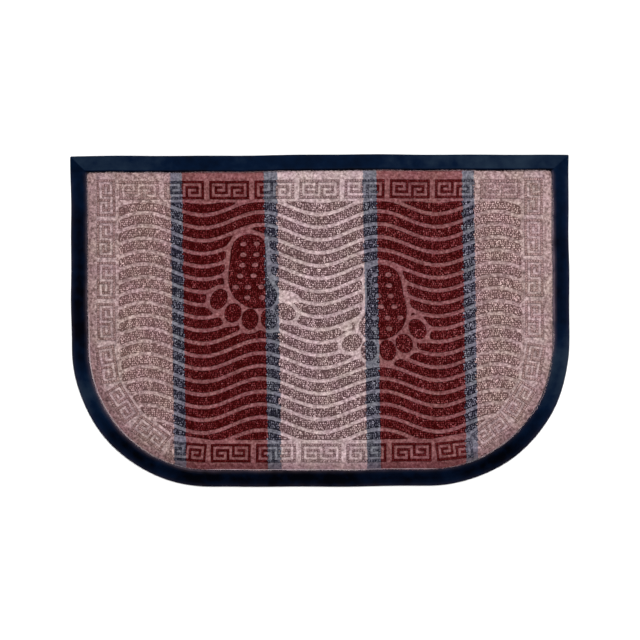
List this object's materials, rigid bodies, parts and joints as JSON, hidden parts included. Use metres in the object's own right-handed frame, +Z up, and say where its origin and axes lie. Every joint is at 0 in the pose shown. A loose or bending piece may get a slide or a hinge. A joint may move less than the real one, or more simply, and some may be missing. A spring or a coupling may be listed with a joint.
{
  "type": "doormat",
  "caption": "D-shaped doormat: a bevelled rubber tray holding a flat carpet face pressed with waves, a key border and footprints.",
  "frame": {"origin": "centre of the underside's bounding rectangle, on the floor", "axes": "+X along the mat's length, +Y towards its straight edge with the square corners, +Z up out of the pile"},
  "size_m": [0.6, 0.4, 0.0058],
  "materials": {
    "rubber": "matt, near black with a navy cast",
    "carpet": "short loop pile in maroon, grey-blue and heathered pink stripes"
  },
  "bodies": {
    "root": {"rubber_tray": "rubber", "carpet_face": "carpet"}
  },
  "joints": []
}
